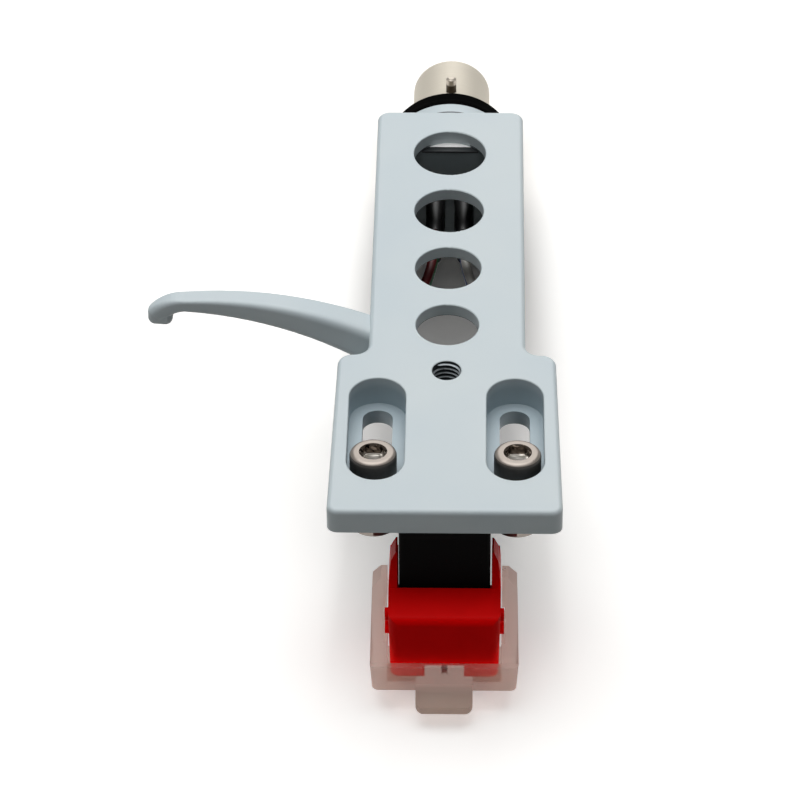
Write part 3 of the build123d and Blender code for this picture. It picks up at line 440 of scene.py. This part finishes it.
runout_crest = min(runout, key=lambda v: v.co.x ** 2 + (v.co.y - hole_y) ** 2)
inwards = (Vector((0, hole_y, 0)) - runout_crest.co).to_2d().normalized().to_3d()
bmesh.ops.translate(bm, verts=[runout_crest], vec=inwards * -thread_depth)
bmesh.ops.contextual_create(bm, geom=profile)
bmesh.ops.contextual_create(bm, geom=[g for g in swept["geom_last"] if isinstance(g, bmesh.types.BMEdge)])
bmesh.ops.recalc_face_normals(bm, faces=bm.faces)
piece("tapped_hole_thread", bm, cut_aluminium)

# Cast ledge that shows as a white crescent at the back of the rear window
window_y = -11.43 * MM
window_z = 6.05 * MM
window_radius = 3.58 * MM
ledge_front_y = -9.15 * MM
ledge_drop = 1.42 * MM
ledge_thickness = 0.18 * MM
bore = Matrix.Translation((0, window_y, window_z)) @ Matrix.Rotation(atan(top_slope), 4, "X")
bm = bmesh.new()
bmesh.ops.create_cone(bm, cap_ends=True, segments=96, radius1=window_radius, radius2=window_radius,
                      depth=ledge_thickness,
                      matrix=bore @ Matrix.Translation((0, 0, -ledge_drop - ledge_thickness / 2)))
cut = bmesh.ops.bisect_plane(bm, geom=bm.verts[:] + bm.edges[:] + bm.faces[:], plane_co=(0, ledge_front_y, 0),
                             plane_no=(0, -1, 0), clear_outer=True)
bmesh.ops.contextual_create(bm, geom=[g for g in cut["geom_cut"] if isinstance(g, bmesh.types.BMEdge)])
bmesh.ops.recalc_face_normals(bm, faces=bm.faces)
piece("window_ledge", bm, highlight_enamel)

# Blunt round end that the tip of the finger lift swells to
tip_middle = Vector((-27.27, -36.95, 3.27)) * MM
tip_size = Vector((2.38, 1.92, 1.7)) * MM
tip_lean = radians(4)
tip_round = 0.72 * MM
bm = bmesh.new()
bmesh.ops.create_cube(bm, size=1, matrix=Matrix.Diagonal(tip_size).to_4x4())
bmesh.ops.bevel(bm, geom=bm.edges[:], offset=tip_round, affect="EDGES", segments=8, profile=0.5, material=-1)
bmesh.ops.rotate(bm, verts=bm.verts, matrix=Matrix.Rotation(tip_lean, 3, "Y"))
bmesh.ops.translate(bm, verts=bm.verts, vec=tip_middle)
bmesh.ops.recalc_face_normals(bm, faces=bm.faces)
piece("lift_tip_end", bm, enamel)

# Pale floor that the part lies on, touching the washer and the housing's lower rear edge, as in the photo
floor_rise = 0.1982
floor_half = 0.25
floor_z = -6.55 * MM
floor_seat = Matrix.Translation((0, 0, floor_z)) @ Matrix.Rotation(atan(floor_rise), 4, "X")
bm = bmesh.new()
bmesh.ops.create_grid(bm, x_segments=1, y_segments=1, size=floor_half, matrix=floor_seat)
mesh = bpy.data.meshes.new("floor")
bm.to_mesh(mesh)
bm.free()
floor = bpy.data.objects.new("floor", mesh)
bpy.context.scene.collection.objects.link(floor)

# Matt white paper: keeps the shadow under and close to the part, and a painted glow lifts it towards white
# around it and to plain white far away; it returns a plain grey light to the part
side_near, side_far, side_lift = 5.5 * MM, 12 * MM, 0.38
front_near, front_far, front_lift = -10 * MM, -75 * MM, 0.42
rear_near, rear_far, rear_lift = 2 * MM, 14 * MM, 0.25
paper_middle = (0, -0.03, -0.012)
paper_near, paper_far = 0.06, 0.16
paper = bpy.data.materials.new("matt_white_paper")
paper.use_nodes = True
tree = paper.node_tree
tree.nodes.clear()
bounce = add(tree, "ShaderNodeBsdfDiffuse", {"Color": linear("#92928F")})
seen = add(tree, "ShaderNodeBsdfDiffuse", {"Color": linear("#F8F6F3")})
place = add(tree, "ShaderNodeTexCoord").outputs["Object"]
spot = add(tree, "ShaderNodeSeparateXYZ", {"Vector": place})
aside = add(tree, "ShaderNodeMath", {0: spot.outputs["X"]}, operation="ABSOLUTE")
clear = add(tree, "ShaderNodeMapRange",
            {"Value": aside.outputs["Value"], "From Min": side_near, "From Max": side_far, "To Max": side_lift},
            interpolation_type="SMOOTHSTEP")
ahead = add(tree, "ShaderNodeMapRange",
            {"Value": spot.outputs["Y"], "From Min": front_near, "From Max": front_far, "To Max": front_lift})
behind = add(tree, "ShaderNodeMapRange",
             {"Value": spot.outputs["Y"], "From Min": rear_near, "From Max": rear_far, "To Max": rear_lift},
             interpolation_type="SMOOTHSTEP")
ends = add(tree, "ShaderNodeMath", {0: ahead.outputs["Result"], 1: behind.outputs["Result"]},
           operation="MAXIMUM")
glow_strength = add(tree, "ShaderNodeMath", {0: clear.outputs["Result"], 1: ends.outputs["Value"]},
               operation="MAXIMUM")
# Painted light: a glow that pales the floor's shadow away from the part
lift = add(tree, "ShaderNodeEmission", {"Color": (1, 1, 1, 1), "Strength": glow_strength.outputs["Value"]})
near = add(tree, "ShaderNodeAddShader", {0: seen.outputs["BSDF"], 1: lift.outputs["Emission"]})
far = add(tree, "ShaderNodeEmission", {"Color": (1, 1, 1, 1), "Strength": 1.0})
away = add(tree, "ShaderNodeVectorMath", {0: place, 1: paper_middle}, operation="DISTANCE")
fade = add(tree, "ShaderNodeMapRange",
           {"Value": away.outputs["Value"], "From Min": paper_near, "From Max": paper_far},
           interpolation_type="SMOOTHSTEP")
sheet = add(tree, "ShaderNodeMixShader", {0: fade.outputs["Result"], 1: near.outputs["Shader"],
                                          2: far.outputs["Emission"]})
rays = add(tree, "ShaderNodeLightPath")
direct = add(tree, "ShaderNodeMath", {0: rays.outputs["Is Camera Ray"], 1: rays.outputs["Is Glossy Ray"]},
             operation="MAXIMUM")
straight = add(tree, "ShaderNodeMath", {0: direct.outputs["Value"], 1: rays.outputs["Is Transmission Ray"]},
               operation="MAXIMUM")
both = add(tree, "ShaderNodeMixShader", {0: straight.outputs["Value"], 1: bounce.outputs["BSDF"],
                                         2: sheet.outputs["Shader"]})
add(tree, "ShaderNodeOutputMaterial", {"Surface": both.outputs["Shader"]})
floor.data.materials.append(paper)

# Studio room: dim even light, brighter in reflections, white where the camera sees it
room_light = 0.1
room_mirrored = 0.45
world = bpy.data.worlds.new("studio")
world.use_nodes = True
bpy.context.scene.world = world
tree = world.node_tree
tree.nodes.clear()
rays = add(tree, "ShaderNodeLightPath")
direct = add(tree, "ShaderNodeMath",
             {0: rays.outputs["Is Camera Ray"], 1: rays.outputs["Is Transmission Ray"]}, operation="MAXIMUM")
mirrored = add(tree, "ShaderNodeMapRange",
               {"Value": rays.outputs["Is Glossy Ray"], "To Min": room_light, "To Max": room_mirrored})
level = add(tree, "ShaderNodeMath", {0: direct.outputs["Value"], 1: mirrored.outputs["Result"]},
            operation="MAXIMUM")
glow = add(tree, "ShaderNodeBackground", {"Color": (1, 1, 1, 1), "Strength": level.outputs["Value"]})
add(tree, "ShaderNodeOutputWorld", {"Surface": glow.outputs["Background"]})


def softbox(name, place, aim, size, power, color="#FFFFFF"):
    """A square area lamp in metres and watts that faces a point."""
    lamp = bpy.data.lights.new(name, "AREA")
    lamp.size = size
    lamp.energy = power
    lamp.color = linear(color)[:3]
    made = bpy.data.objects.new(name, lamp)
    made.location = place
    made.rotation_mode = "QUATERNION"
    made.rotation_quaternion = (Vector(aim) - Vector(place)).to_track_quat("-Z", "Y")
    bpy.context.scene.collection.objects.link(made)


middle = (0, -0.03, 0)
softbox("overhead", (-0.04, 0.03, 0.55), middle, 0.6, 3.08)
softbox("rear", (0.05, 0.5, 0.42), middle, 0.4, 0.82)

# Camera at the photograph's place
eye = Vector((2.50, -317.06, 187.49)) * MM
target = Vector((-4.74, -30.45, -11.01)) * MM
roll = radians(-0.47)
camera = bpy.data.cameras.new("camera")
camera.sensor_width = 36
camera.lens = 158.84
camera.clip_start = 0.01
camera.clip_end = 20
seat = bpy.data.objects.new("camera", camera)
seat.location = eye
seat.rotation_mode = "QUATERNION"
seat.rotation_quaternion = (target - eye).to_track_quat("-Z", "Y") @ Quaternion((0, 0, 1), roll)
bpy.context.scene.collection.objects.link(seat)
bpy.context.scene.camera = seat
bpy.context.scene.view_settings.view_transform = "Standard"
